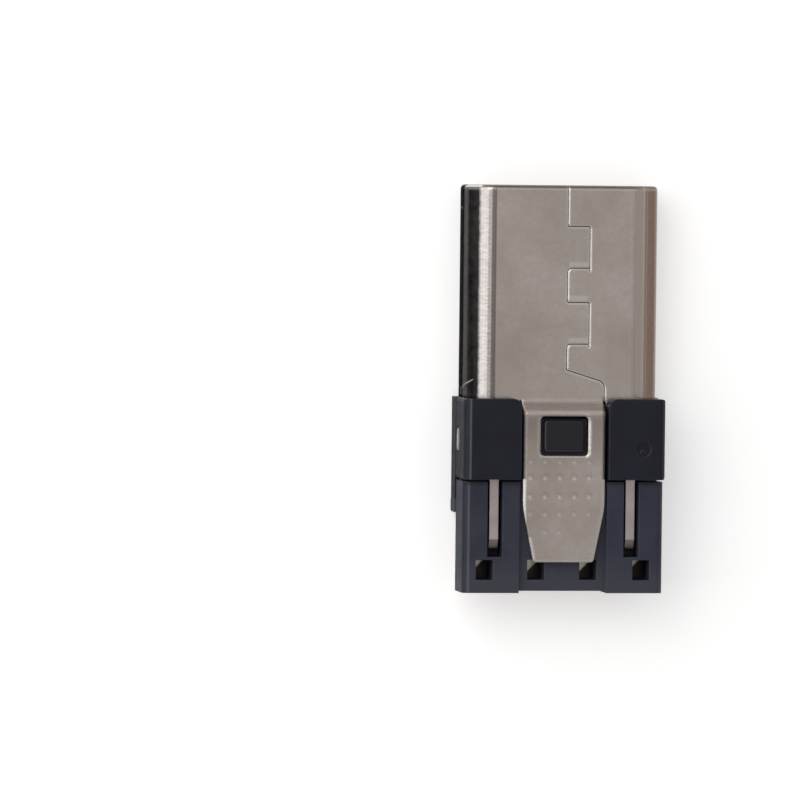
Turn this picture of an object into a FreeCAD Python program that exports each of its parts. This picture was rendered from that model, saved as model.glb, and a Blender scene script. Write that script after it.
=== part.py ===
import FreeCAD, Part
import math
import os

# Solder-type micro USB plug, lying seam side up on its collar.
# Millimetres. X is across the plug, +Y points to the tip, +Z is up.
# The origin is under the middle of the plug, on the plane of the collar's flat face.
# A station is a distance back from the tip of the shell.

# Shell tube
SHELL_WIDTH = 6.85
SHELL_HEIGHT = 1.80
SHEET = 0.25
SHELL_EXPOSED = 7.40
SHELL_BURIED = 1.50
CORNER_RADIUS = 0.38
BEND_RADIUS = 0.32
CREST_RADIUS = 0.80
SLANT_WIDTH = 0.775
SLANT_HEIGHT = 0.65
LEAD_RADIUS = 0.15

# Interlocked seam of the shell
SEAM_GAP = 0.03
SEAM_X = 0.14
SEAM_TABS = 2
TAB_REACH = 0.78
TAB_LENGTH = 1.45
FIRST_TAB = 1.42
TAB_PITCH = 2.64
TAB_NICK = 0.11
SEAM_TURN = 6.41
SEAM_SLANT = 0.42
SEAM_SMALL_RADIUS = 0.05
SEAM_LARGE_RADIUS = 0.16
SEAM_SLANT_RADIUS = 0.28

# Latch windows and pressed-in grooves in the flat face of the shell
WINDOW_WIDTH = 0.65
WINDOW_START = 0.82
WINDOW_LENGTH = 3.36
GROOVE_SPACING = 2.18
GROOVE_WIDTH = 0.55
GROOVE_START = 1.00
GROOVE_LENGTH = 3.74
GROOVE_DEPTH = 0.13
RIDGE_MARGIN = 0.04

# Round key holes under the edge of the collar
INNER_KEY_X = 1.65
INNER_KEY_RADIUS = 0.46
OUTER_KEY_X = 3.06
OUTER_KEY_RADIUS = 0.27
KEY_SHOW = 0.15

# Tongue of the shell
TONGUE_WIDTH = 2.86
TONGUE_TIP_WIDTH = 2.10
TONGUE_LENGTH = 5.67
TONGUE_TAPER = 1.87
TONGUE_RISE = 0.52
TONGUE_BEND_START = 0.10
TONGUE_BEND_RUN = 0.40
TONGUE_BEND_RADIUS = 0.20
TONGUE_CORNER = 0.10
TONGUE_SLIT = 0.11
TONGUE_WINDOW_WIDTH = 1.69
TONGUE_WINDOW_LENGTH = 1.38
TONGUE_WINDOW_START = 0.60
TONGUE_WINDOW_RADIUS = 0.16

# Collar
COLLAR_SKIN = 0.155
COLLAR_FLOOR = 0.30
COLLAR_ROOF = 0.75
COLLAR_LENGTH = 3.57
BLOCK_LENGTH = 2.80
BLOCK_INSET = 0.03
COLLAR_EDGE = 0.24
BLOCK_EDGE = 0.28
BLOCK_CORNER = 0.11
CHANNEL_MOUTH_RADIUS = 0.28
SIDE_WINDOW_START = 0.98
SIDE_WINDOW_LENGTH = 0.95
SIDE_WINDOW_HEIGHT = 0.62
SIDE_WINDOW_RISE = 1.12
SIDE_WINDOW_DEPTH = 0.25
GATE_X = 2.745
GATE_FROM_FRONT = 1.74
GATE_RADIUS = 0.27
GATE_DEPTH = 0.06
GATE_NUB_RADIUS = 0.09
GATE_NUB_OFFSET = 0.12
GATE_NUB_DROP = 0.02

# Insulator
NOSE_SETBACK = 0.45
NOSE_WIDTH = 3.80
NOSE_WALL = 0.22
NOSE_LEAD = 0.10
CAVITY_HEIGHT = 0.65
CAVITY_DEPTH = 5.20
RIB_MARGIN = 0.05
FLANGE_LENGTH = 0.48
FLANGE_STEP = 0.03
FLANGE_CORNER = 0.12
SHELF_LENGTH = 2.70
SHELF_HEIGHT = 0.98
BASE_INSET = 0.05
BASE_DROP = 0.30
BASE_GAP = 0.08
BASE_EDGE = 0.26
RAIL_CLEARANCE = 0.11
RAIL_OVERHANG = 0.07
BOSS_SIDE_GAP = 0.15
BOSS_END_GAP = 0.14
BOSS_BELOW_TONGUE = 0.03
BOSS_CORNER = 0.12
BOSS_EDGE = 0.07
HOLE_WIDTH = 0.60
HOLE_LENGTH = 0.70
HOLE_FROM_REAR = 0.45

# Contacts
CONTACT_PITCH = 0.65
CONTACT_SLOTS = 5
CONTACT_SLOT_WIDTH = 0.40
CONTACT_SLOT_DEPTH = 0.42
CONTACT_SLOT_END = 0.30
BEAM_WIDTH = 0.30
BEAM_SETBACK = 0.80
BEAM_DIP = 0.18
BEAM_DIP_STATION = 2.10
BEAM_DIP_FLAT = 0.40
BEAM_TIP_LIFT = 0.12
BEAM_ROOT = 0.55
CONTACT_SHEET = 0.20
CONTACT_BEND = 0.30
FAN_START = 1.37
FAN_LENGTH = 1.70
PAD_PITCH = 1.84
PAD_WIDTH = 0.86
PAD_RECESS = 0.07
PAD_CORNER = 0.12
PAD_RAMP_LENGTH = 0.28
PAD_RAMP_DROP = 0.08
BUMP_RADIUS = 0.13
BUMP_CROWN_RADIUS = 0.05
BUMP_HEIGHT = 0.045
BUMP_SIDES = 8
BUMP_SPACING = 0.50
BUMP_START = 0.90
BUMP_PITCH = 0.62
BUMP_ROWS = 3

# Latches
LATCH_SPACING = 4.80
LATCH_THICKNESS = 0.33
LATCH_TIP = 1.00
LATCH_TIP_HEIGHT = 0.35
HOOK_PROUD = 0.28
HOOK_PEAK = 2.30
HOOK_PEAK_LENGTH = 0.18
HOOK_BACK = 0.22
HOOK_TIP_DROP = 0.10
ARM_GAP = 0.15
ARM_HEIGHT = 0.42
RISER_SETBACK = 0.10
RISER_LENGTH = 0.90
TAIL_BELOW_BASE = 0.25
TAIL_HEIGHT = 0.45
TAIL_END_GAP = 0.25
TAIL_SLOT_REAR = 1.25
TAIL_BEVEL_DROP = 0.14
TAIL_BEVEL_LENGTH = 0.35
LATCH_SIDE_CLEARANCE = 0.10
LATCH_SWING_CLEARANCE = 0.33
LATCH_END_CLEARANCE = 0.12
LATCH_CORNER = 0.06

# Heights that follow from the sizes above
SHELL_BOTTOM = COLLAR_FLOOR
SHELL_TOP = SHELL_BOTTOM + SHELL_HEIGHT
SHELL_INNER_BOTTOM = SHELL_BOTTOM + SHEET
SHELL_INNER_TOP = SHELL_TOP - SHEET
BLOCK_TOP = SHELL_TOP + COLLAR_ROOF
BASE_TOP = BLOCK_TOP - BASE_DROP
TONGUE_TOP = SHELL_TOP + TONGUE_RISE
TONGUE_UNDER = TONGUE_TOP - SHEET
NOSE_UNDER = SHELL_INNER_BOTTOM + CAVITY_HEIGHT
PAD_FACE = SHELF_HEIGHT + PAD_RECESS
PAD_BACK = PAD_FACE + CONTACT_SHEET
HOOK_BOTTOM = SHELL_BOTTOM - HOOK_PROUD
ARM_BOTTOM = SHELL_INNER_BOTTOM + ARM_GAP
ARM_TOP = ARM_BOTTOM + ARM_HEIGHT
TAIL_TOP = BASE_TOP - TAIL_BELOW_BASE
TAIL_BOTTOM = TAIL_TOP - TAIL_HEIGHT

# Stations that follow from the sizes above
TUBE_END = SHELL_EXPOSED + SHELL_BURIED
COLLAR_END = SHELL_EXPOSED + COLLAR_LENGTH
BLOCK_END = SHELL_EXPOSED + BLOCK_LENGTH
FLANGE_END = COLLAR_END + FLANGE_LENGTH
REAR = FLANGE_END + SHELF_LENGTH
BASE_START = BLOCK_END + BASE_GAP
TONGUE_END = SHELL_EXPOSED + TONGUE_LENGTH
BEND_START = SHELL_EXPOSED + TONGUE_BEND_START
BEND_END = BEND_START + TONGUE_BEND_RUN
TONGUE_WINDOW_FRONT = SHELL_EXPOSED + TONGUE_WINDOW_START
TONGUE_WINDOW_REAR = TONGUE_WINDOW_FRONT + TONGUE_WINDOW_LENGTH
RISER_FRONT = TUBE_END + RISER_SETBACK
RISER_REAR = RISER_FRONT + RISER_LENGTH
TAIL_SLOT_END = REAR - TAIL_SLOT_REAR
TAIL_END = TAIL_SLOT_END - TAIL_END_GAP
FAN_FRONT = COLLAR_END - FAN_START
FAN_REAR = FAN_FRONT + FAN_LENGTH

# Half widths that follow from the sizes above
COLLAR_HALF = SHELL_WIDTH / 2 + COLLAR_SKIN
BLOCK_HALF = COLLAR_HALF - BLOCK_INSET
BASE_HALF = COLLAR_HALF - BASE_INSET
CHANNEL_HALF = TONGUE_WIDTH / 2 + TONGUE_SLIT
RAIL_HALF = TONGUE_WIDTH / 2 + RAIL_CLEARANCE
RIB_HALF = TONGUE_WIDTH / 2 - RIB_MARGIN

TIP_Y = REAR / 2
BEYOND = 1.0
PADS = 4
PAD_NAMES = ("contact_power", "contact_data_minus", "contact_data_plus", "contact_ground")
PAD_SLOTS = (0, 1, 2, 4)


def point(x, station, z):
    """Point at x and z, at a station back from the tip."""
    return FreeCAD.Vector(x, TIP_Y - station, z)


def block(x0, x1, s0, s1, z0, z1):
    """Box between two x, two stations and two heights."""
    return Part.makeBox(x1 - x0, s1 - s0, z1 - z0, point(x0, s1, z0))


def rounded_face(corners, radii, place):
    """Flat face through the corners, each rounded by its radius."""
    arcs = []
    count = len(corners)
    for i in range(count):
        here = FreeCAD.Vector(*corners[i])
        back = (FreeCAD.Vector(*corners[i - 1]) - here).normalize()
        ahead = (FreeCAD.Vector(*corners[(i + 1) % count]) - here).normalize()
        half = back.getAngle(ahead) / 2
        inward = (back + ahead).normalize()
        reach = radii[i] / math.tan(half)
        middle = here + inward * (radii[i] / math.sin(half) - radii[i])
        arcs.append([here + back * reach, middle, here + ahead * reach])
    edges = []
    for i in range(count):
        first, middle, last = [place(v.x, v.y) for v in arcs[i]]
        if radii[i] > 0:
            edges.append(Part.Arc(first, middle, last).toShape())
        following = arcs[(i + 1) % count][0]
        edges.append(Part.makeLine(last, place(following.x, following.y)))
    return Part.Face(Part.Wire(edges))


def plan_prism(corners, radii, z0, z1):
    """Prism that stands on an outline of x and station."""
    face = rounded_face(corners, radii, lambda x, s: point(x, s, z0))
    return face.extrude(FreeCAD.Vector(0, 0, z1 - z0))


def side_prism(corners, radii, x0, x1):
    """Prism that runs across the plug from an outline of station and height."""
    face = rounded_face(corners, radii, lambda s, z: point(x0, s, z))
    return face.extrude(FreeCAD.Vector(x1 - x0, 0, 0))


def plan_rectangle(x0, x1, s0, s1, radius, z0, z1):
    """Upright prism on a rectangle with rounded corners."""
    corners = [(x0, s0), (x1, s0), (x1, s1), (x0, s1)]
    return plan_prism(corners, [radius] * 4, z0, z1)


def upright_cylinder(x, station, radius, z0, z1):
    """Round column between two heights."""
    return Part.makeCylinder(radius, z1 - z0, point(x, station, z0))


def round_edges(shape, radius, test):
    """Round the edges whose bounding boxes pass the test."""
    return shape.makeFillet(radius, [edge for edge in shape.Edges if test(edge.BoundBox)])


def near(a, b):
    """Whether two lengths are the same."""
    return abs(a - b) < 1e-4


def runs_along(box, x=None, z=None):
    """Whether an edge runs along the plug at a given distance from the middle and height."""
    straight = near(box.XMin, box.XMax) and near(box.ZMin, box.ZMax) and box.YLength > SHEET
    beside = x is None or near(abs(box.XMin), x)
    level = z is None or near(box.ZMin, z)
    return straight and beside and level


def tube_section(inset):
    """Face of the shell's cross section at the tip, drawn in by an inset."""
    half = SHELL_WIDTH / 2
    knee = SHELL_TOP - SLANT_HEIGHT
    crest = half - SLANT_WIDTH
    corners = [(-half, SHELL_BOTTOM), (half, SHELL_BOTTOM), (half, knee)]
    corners += [(crest, SHELL_TOP), (-crest, SHELL_TOP), (-half, knee)]
    radii = [CORNER_RADIUS, CORNER_RADIUS, BEND_RADIUS, CREST_RADIUS, CREST_RADIUS, BEND_RADIUS]
    face = rounded_face(corners, radii, lambda x, z: point(x, 0, z))
    return face.makeOffset2D(-inset) if inset else face


def tube_prism(inset, s0, s1):
    """Prism of the shell's section between two stations."""
    prism = tube_section(inset).extrude(FreeCAD.Vector(0, s0 - s1, 0))
    prism.translate(FreeCAD.Vector(0, -s0, 0))
    return prism


def both_sides(make):
    """The shape that make gives on the left and on the right, as a list."""
    return [make(-1), make(1)]


def seam_path():
    """Corners of the seam from the tip to the tongue's slit, each as x, station and radius."""
    path = [(SEAM_X, -BEYOND, 0)]
    for tab in range(SEAM_TABS):
        start = FIRST_TAB + tab * TAB_PITCH
        end = start + TAB_LENGTH
        path.append((SEAM_X, start, SEAM_SMALL_RADIUS))
        path.append((SEAM_X + TAB_REACH, start, SEAM_SMALL_RADIUS))
        path.append((SEAM_X + TAB_REACH, end, SEAM_SMALL_RADIUS))
        path.append((SEAM_X, end, SEAM_LARGE_RADIUS))
    slit = TONGUE_WIDTH / 2 + TONGUE_SLIT / 2
    path.append((SEAM_X, SEAM_TURN, SEAM_SMALL_RADIUS))
    path.append((slit, SEAM_TURN + SEAM_SLANT, SEAM_SLANT_RADIUS))
    path.append((slit, BEND_START + SEAM_GAP, 0))
    return path


def beside_path(path, shift):
    """The path moved sideways by a shift, with its radii fitted to the move."""
    points = [FreeCAD.Vector(x, s, 0) for x, s, radius in path]
    steps = [(b - a).normalize() for a, b in zip(points, points[1:])]
    steps = steps[:1] + steps + steps[-1:]
    moved = []
    for (x, s, radius), before, after in zip(path, steps, steps[1:]):
        reach = shift / (1 + before.dot(after))
        turn = before.x * after.y - before.y * after.x
        fitted = radius - math.copysign(1, turn) * shift if radius else 0
        moved.append((x - (before.y + after.y) * reach, s + (before.x + after.x) * reach, fitted))
    return moved


def seam_cutter():
    """Narrow gap that follows the seam through the sheet, with a nick behind each tab."""
    low = SHELL_INNER_TOP - SHEET
    high = SHELL_TOP + SHEET
    half = SEAM_GAP / 2
    path = seam_path()
    outline = beside_path(path, half) + beside_path(path, -half)[::-1]
    corners = [(x, s) for x, s, radius in outline]
    pieces = [plan_prism(corners, [radius for x, s, radius in outline], low, high)]
    edge = SEAM_X + TAB_REACH
    for tab in range(SEAM_TABS):
        end = FIRST_TAB + tab * TAB_PITCH + TAB_LENGTH
        pieces.append(block(edge - half, edge + half, end - TAB_NICK, end + TAB_NICK, low, high))
    return pieces


def latch_window(side):
    """Round-ended window in the flat face, over one latch."""
    middle = side * LATCH_SPACING / 2
    half = WINDOW_WIDTH / 2
    first = WINDOW_START + half
    last = WINDOW_START + WINDOW_LENGTH - half
    low = SHELL_BOTTOM - SHEET
    high = SHELL_INNER_BOTTOM + SHEET
    slot = block(middle - half, middle + half, first, last, low, high)
    return slot.fuse([upright_cylinder(middle, station, half, low, high) for station in (first, last)])


def groove_prism(side, margin, z0, z1):
    """Round-ended bar on the line of one pressed-in groove, widened by a margin."""
    middle = side * GROOVE_SPACING / 2
    half = GROOVE_WIDTH / 2
    first = GROOVE_START + half
    last = GROOVE_START + GROOVE_LENGTH - half
    bar = block(middle - half - margin, middle + half + margin, first, last, z0, z1)
    ends = [upright_cylinder(middle, s, half + margin, z0, z1) for s in (first, last)]
    return bar.fuse(ends).removeSplitter()


def key_column(side, x, radius, z0, z1):
    """Round column of one moulding key, which shows in front of the collar by a small arc."""
    return upright_cylinder(side * x, SHELL_EXPOSED + radius - KEY_SHOW, radius, z0, z1)


def key_columns(z0, z1):
    """The four moulding keys between two heights."""
    keys = both_sides(lambda side: key_column(side, INNER_KEY_X, INNER_KEY_RADIUS, z0, z1))
    keys += both_sides(lambda side: key_column(side, OUTER_KEY_X, OUTER_KEY_RADIUS, z0, z1))
    return keys


def tongue():
    """Flat strip that steps up from the seam side and runs back over the insulator."""
    low = SHELL_INNER_TOP
    start = BEND_START - TONGUE_BEND_RADIUS
    profile = [(start, low), (BEND_START, low), (BEND_END, TONGUE_UNDER), (TONGUE_END, TONGUE_UNDER)]
    profile += [(TONGUE_END, TONGUE_TOP), (BEND_END, TONGUE_TOP), (BEND_START, SHELL_TOP), (start, SHELL_TOP)]
    bend = TONGUE_BEND_RADIUS
    radii = [0, bend, bend, 0, 0, bend, bend, 0]
    strip = side_prism(profile, radii, -TONGUE_WIDTH / 2, TONGUE_WIDTH / 2)
    half = TONGUE_WIDTH / 2
    tip = TONGUE_TIP_WIDTH / 2
    corners = [(-half, start), (half, start), (half, TONGUE_END - TONGUE_TAPER)]
    corners += [(tip, TONGUE_END), (-tip, TONGUE_END), (-half, TONGUE_END - TONGUE_TAPER)]
    radii = [0, 0, TONGUE_WIDTH, TONGUE_CORNER, TONGUE_CORNER, TONGUE_WIDTH]
    outline = plan_prism(corners, radii, low - SHEET, TONGUE_TOP + SHEET)
    opening = TONGUE_WINDOW_WIDTH / 2
    window = plan_rectangle(-opening, opening, TONGUE_WINDOW_FRONT, TONGUE_WINDOW_REAR,
                            TONGUE_WINDOW_RADIUS, low, TONGUE_TOP + SHEET)
    return strip.common(outline).cut(window)


def shell():
    """Folded sheet: tube, seam, windows, grooves, key holes and tongue."""
    outside = tube_prism(0, 0, TUBE_END)
    outside = round_edges(outside, LEAD_RADIUS, lambda box: near(box.YMin, TIP_Y))
    tube = outside.cut(tube_prism(SHEET, -BEYOND, TUBE_END + BEYOND))
    ridge_top = SHELL_INNER_BOTTOM + GROOVE_DEPTH
    tube = tube.fuse(both_sides(lambda side: groove_prism(side, RIDGE_MARGIN, SHELL_INNER_BOTTOM, ridge_top)))
    pocket_top = SHELL_BOTTOM + GROOVE_DEPTH
    cutters = both_sides(lambda side: groove_prism(side, 0, SHELL_BOTTOM - SHEET, pocket_top))
    cutters += both_sides(latch_window)
    cutters += key_columns(SHELL_BOTTOM - SHEET, SHELL_INNER_BOTTOM + SHEET)
    cutters.append(block(-CHANNEL_HALF, CHANNEL_HALF, BEND_START, TUBE_END + BEYOND,
                         SHELL_INNER_TOP - SHEET, SHELL_TOP + SHEET))
    cutters += seam_cutter()
    return tube.cut(cutters).fuse(tongue()).removeSplitter()


def latch_room(side, s0, s1, z0, z1):
    """Box with side clearance round one latch."""
    half = LATCH_THICKNESS / 2 + LATCH_SIDE_CLEARANCE
    middle = side * LATCH_SPACING / 2
    return block(middle - half, middle + half, s0, s1, z0, z1)


def riser_room(side):
    """Clearance round the tall part of one latch."""
    low = ARM_BOTTOM - LATCH_END_CLEARANCE
    high = TAIL_TOP + LATCH_END_CLEARANCE
    return latch_room(side, RISER_FRONT - LATCH_END_CLEARANCE, RISER_REAR + LATCH_END_CLEARANCE, low, high)


def tail_room(side, s0, high):
    """Clearance round the tail of one latch, up to a height."""
    return latch_room(side, s0, TAIL_SLOT_END, TAIL_BOTTOM - LATCH_SWING_CLEARANCE, high)


def collar_block(side):
    """One raised block beside the tongue, with rounded corners and a rounded outer edge."""
    corners = [(side * CHANNEL_HALF, SHELL_EXPOSED), (side * BLOCK_HALF, SHELL_EXPOSED)]
    corners += [(side * BLOCK_HALF, BLOCK_END), (side * CHANNEL_HALF, BLOCK_END)]
    radii = [CHANNEL_MOUTH_RADIUS, BLOCK_CORNER, BLOCK_CORNER, 0]
    standing = plan_prism(corners, radii, SHELF_HEIGHT, BLOCK_TOP)
    corners = [(side * CHANNEL_HALF, SHELF_HEIGHT), (side * BLOCK_HALF, SHELF_HEIGHT)]
    corners += [(side * BLOCK_HALF, BLOCK_TOP), (side * CHANNEL_HALF, BLOCK_TOP)]
    section = rounded_face(corners, [0, 0, BLOCK_EDGE, 0], lambda x, z: point(x, SHELL_EXPOSED, z))
    return standing.common(section.extrude(FreeCAD.Vector(0, -BLOCK_LENGTH, 0)))


def gate_column(offset, radius, z0, z1):
    """Round column at the collar's gate, at an offset back from its middle."""
    return upright_cylinder(GATE_X, SHELL_EXPOSED + GATE_FROM_FRONT + offset, radius, z0, z1)


def collar():
    """Moulding round the shell, with two blocks on the seam side and a flat face below."""
    lower = block(-COLLAR_HALF, COLLAR_HALF, SHELL_EXPOSED, COLLAR_END, 0, SHELF_HEIGHT)
    lower = round_edges(lower, COLLAR_EDGE, lambda box: runs_along(box, COLLAR_HALF, 0))
    body = lower.fuse(both_sides(collar_block))
    body = body.cut(tube_prism(0, SHELL_EXPOSED - BEYOND, COLLAR_END + BEYOND))
    body = body.fuse(key_columns(SHELL_BOTTOM, SHELL_INNER_BOTTOM))
    gate_floor = BLOCK_TOP - GATE_DEPTH
    cutters = both_sides(riser_room)
    cutters += both_sides(lambda side: tail_room(side, RISER_REAR, TAIL_TOP + LATCH_END_CLEARANCE))
    cutters.append(side_window())
    cutters.append(gate_column(0, GATE_RADIUS, gate_floor, BLOCK_TOP + BEYOND))
    nub = gate_column(GATE_NUB_OFFSET, GATE_NUB_RADIUS, gate_floor, BLOCK_TOP - GATE_NUB_DROP)
    return body.cut(cutters).fuse(nub).removeSplitter()


def side_window():
    """Round-ended window in the left wall of the collar, through to the shell."""
    radius = SIDE_WINDOW_HEIGHT / 2
    middle = SIDE_WINDOW_RISE + radius
    first = SHELL_EXPOSED + SIDE_WINDOW_START + radius
    last = first + SIDE_WINDOW_LENGTH - SIDE_WINDOW_HEIGHT
    floor = SIDE_WINDOW_DEPTH - BLOCK_HALF
    bar = block(-COLLAR_HALF, floor, first, last, middle - radius, middle + radius)
    ends = []
    for station in (first, last):
        base = point(-COLLAR_HALF, station, middle)
        ends.append(Part.makeCylinder(radius, floor + COLLAR_HALF, base, FreeCAD.Vector(1, 0, 0)))
    return bar.fuse(ends).removeSplitter()


def slot_x(slot):
    """Middle of one contact slot in the nose."""
    return (slot - (CONTACT_SLOTS - 1) / 2) * CONTACT_PITCH


def pad_x(pad):
    """Middle of one solder pad."""
    return (pad - (PADS - 1) / 2) * PAD_PITCH


def nose():
    """Flat nose over the cavity, with a slot under each contact place."""
    half = NOSE_WIDTH / 2
    bar = block(-half, half, NOSE_SETBACK, CAVITY_DEPTH, NOSE_UNDER, SHELL_INNER_TOP)
    front = TIP_Y - NOSE_SETBACK
    bar = bar.makeChamfer(NOSE_LEAD, [edge for edge in bar.Edges if is_nose_front(edge.BoundBox, front)])
    slots = []
    for slot in range(CONTACT_SLOTS):
        middle = slot_x(slot)
        side = CONTACT_SLOT_WIDTH / 2
        slots.append(block(middle - side, middle + side, NOSE_SETBACK + NOSE_WALL,
                           CAVITY_DEPTH - CONTACT_SLOT_END, NOSE_UNDER, NOSE_UNDER + CONTACT_SLOT_DEPTH))
    return bar.cut(slots)


def is_nose_front(box, front):
    """Whether an edge of the nose lies along its front, top or bottom."""
    return near(box.YMin, front) and near(box.YMax, front) and box.XLength > SHEET


def base():
    """Rear part of the insulator: rails, centre channel, solder shelf and flange."""
    body = block(-BASE_HALF, BASE_HALF, BASE_START, REAR, SHELF_HEIGHT, BASE_TOP)
    body = round_edges(body, BASE_EDGE, lambda box: runs_along(box, BASE_HALF, BASE_TOP))
    channel = block(-RAIL_HALF, RAIL_HALF, BASE_START, REAR, TONGUE_UNDER, BASE_TOP)
    end = block(-RAIL_HALF, RAIL_HALF, REAR - RAIL_OVERHANG, REAR, PAD_BACK, BASE_TOP)
    body = body.cut([channel, end])
    flange = block(-COLLAR_HALF, COLLAR_HALF, COLLAR_END, FLANGE_END, FLANGE_STEP, SHELF_HEIGHT)
    flange = round_edges(flange, FLANGE_CORNER, is_flange_corner)
    return body.fuse(flange)


def is_flange_corner(box):
    """Whether an edge is an outer rear corner or a long lower edge of the flange."""
    rear = near(box.YMin, TIP_Y - FLANGE_END) and near(box.YMax, TIP_Y - FLANGE_END)
    upright = near(box.XMin, box.XMax)
    return rear and upright or runs_along(box, COLLAR_HALF, FLANGE_STEP)


def boss():
    """Block on the centre rib that stands in the tongue's window."""
    half = TONGUE_WINDOW_WIDTH / 2 - BOSS_SIDE_GAP
    top = TONGUE_TOP - BOSS_BELOW_TONGUE
    body = plan_rectangle(-half, half, TONGUE_WINDOW_FRONT + BOSS_END_GAP, TONGUE_WINDOW_REAR - BOSS_END_GAP,
                          BOSS_CORNER, SHELL_INNER_TOP, top)
    return round_edges(body, BOSS_EDGE, lambda box: near(box.ZMin, top))


def insulator(contacts):
    """Core moulding: nose, body in the tube, rib under the tongue, base and boss."""
    body = tube_prism(SHEET, CAVITY_DEPTH, TUBE_END)
    body = body.fuse([tube_prism(0, TUBE_END, COLLAR_END), nose(), base(), boss()])
    rib_front = BEND_END + TONGUE_BEND_RADIUS
    rib = block(-RIB_HALF, RIB_HALF, rib_front, BASE_START, SHELL_INNER_TOP, TONGUE_UNDER)
    body = body.fuse(rib)
    cutters = both_sides(lambda side: latch_room(side, CAVITY_DEPTH - BEYOND, RISER_FRONT,
                                                 SHELL_INNER_BOTTOM, ARM_TOP + LATCH_SWING_CLEARANCE))
    cutters += both_sides(riser_room)
    cutters += both_sides(lambda side: tail_room(side, RISER_REAR, BLOCK_TOP))
    for pad in range(PADS):
        middle = pad_x(pad)
        hole = HOLE_WIDTH / 2
        rear = REAR - HOLE_FROM_REAR
        cutters.append(block(middle - hole, middle + hole, rear - HOLE_LENGTH, rear, PAD_FACE, BLOCK_TOP))
        side = PAD_WIDTH / 2
        cutters.append(block(middle - side, middle + side, FLANGE_END, REAR, 0, PAD_BACK))
    return body.cut(cutters).cut(contacts).removeSplitter()


def contact(pad, slot):
    """One stamped contact: sprung beam, fanned middle and solder pad."""
    middle = NOSE_UNDER + CONTACT_SHEET / 2
    line = [(BEAM_SETBACK, middle + BEAM_TIP_LIFT)]
    line.append((BEAM_DIP_STATION - BEAM_DIP_FLAT / 2, middle - BEAM_DIP))
    line.append((BEAM_DIP_STATION + BEAM_DIP_FLAT / 2, middle - BEAM_DIP))
    line.append((CAVITY_DEPTH - BEAM_ROOT, middle))
    line.append((COLLAR_END, middle))
    line.append((FAN_REAR, PAD_FACE + CONTACT_SHEET / 2))
    half = CONTACT_SHEET / 2
    lower = [(s, z - half) for s, z in line]
    upper = [(s, z + half) for s, z in line]
    lower += [(REAR - PAD_RAMP_LENGTH, PAD_FACE), (REAR, PAD_FACE + PAD_RAMP_DROP)]
    upper += [(REAR, PAD_BACK)]
    radii = [0] + [CONTACT_BEND] * 5 + [0, 0, 0] + [CONTACT_BEND] * 5 + [0]
    ribbon = side_prism(lower + upper[::-1], radii, -SHELL_WIDTH, SHELL_WIDTH)
    beam = slot_x(slot)
    seat = pad_x(pad)
    narrow = BEAM_WIDTH / 2
    wide = PAD_WIDTH / 2
    corners = [(beam + narrow, BEAM_SETBACK - BEYOND), (beam + narrow, FAN_FRONT), (seat + narrow, FAN_REAR)]
    corners += [(seat + wide, FAN_REAR), (seat + wide, REAR + BEYOND), (seat - wide, REAR + BEYOND)]
    corners += [(seat - wide, FAN_REAR), (seat - narrow, FAN_REAR), (beam - narrow, FAN_FRONT)]
    corners += [(beam - narrow, BEAM_SETBACK - BEYOND)]
    radii = [0, 0, 0, PAD_CORNER, 0, 0, PAD_CORNER, 0, 0, 0]
    outline = plan_prism(corners, radii, 0, BLOCK_TOP)
    return ribbon.common(outline).fuse(bumps(seat)).removeSplitter()


def bumps(seat):
    """Low tapered bumps on the face of one solder pad, in two rows along it."""
    raised = []
    for side in (-1, 1):
        for row in range(BUMP_ROWS):
            x = seat + side * BUMP_SPACING / 2
            station = FLANGE_END + BUMP_START + row * BUMP_PITCH
            foot = ring(x, station, BUMP_RADIUS, PAD_FACE)
            crown = ring(x, station, BUMP_CROWN_RADIUS, PAD_FACE - BUMP_HEIGHT)
            raised.append(Part.makeLoft([foot, crown], True, True))
    return raised


def ring(x, station, radius, z):
    """Closed outline with as many sides as a bump has."""
    turns = [2 * math.pi * (side + 0.5) / BUMP_SIDES for side in range(BUMP_SIDES)]
    corners = [point(x + radius * math.cos(turn), station + radius * math.sin(turn), z) for turn in turns]
    return Part.makePolygon(corners + corners[:1])


def latch(side):
    """One stamped latch: hook, spring arm, riser and tail in one upright blank."""
    corners = [(LATCH_TIP, ARM_BOTTOM - HOOK_TIP_DROP), (HOOK_PEAK, HOOK_BOTTOM)]
    corners += [(HOOK_PEAK + HOOK_PEAK_LENGTH, HOOK_BOTTOM)]
    corners += [(HOOK_PEAK + HOOK_PEAK_LENGTH + HOOK_BACK, ARM_BOTTOM), (RISER_REAR, ARM_BOTTOM)]
    corners += [(RISER_REAR, TAIL_BOTTOM), (TAIL_END, TAIL_BOTTOM), (TAIL_END, TAIL_TOP - TAIL_BEVEL_DROP)]
    corners += [(TAIL_END - TAIL_BEVEL_LENGTH, TAIL_TOP), (RISER_FRONT, TAIL_TOP), (RISER_FRONT, ARM_TOP)]
    corners += [(LATCH_TIP + LATCH_TIP_HEIGHT, ARM_TOP)]
    corners += [(LATCH_TIP, ARM_BOTTOM - HOOK_TIP_DROP + LATCH_TIP_HEIGHT)]
    radii = [LATCH_CORNER] * len(corners)
    middle = side * LATCH_SPACING / 2
    half = LATCH_THICKNESS / 2
    return side_prism(corners, radii, middle - half, middle + half)


def write(name, shape):
    """Save one solid as a STEP file and say how large it is."""
    shape.exportStep(os.path.join("parts", name + ".step"))
    print(name, "solids", len(shape.Solids), "volume", round(shape.Volume, 3), "valid", shape.isValid())


def main():
    os.makedirs("parts", exist_ok=True)
    contacts = [contact(pad, slot) for pad, slot in enumerate(PAD_SLOTS)]
    write("shell", shell())
    write("collar", collar())
    write("insulator", insulator(contacts))
    for name, shape in zip(PAD_NAMES, contacts):
        write(name, shape)
    write("latch_left", latch(-1))
    write("latch_right", latch(1))


main()
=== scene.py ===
import math

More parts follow.
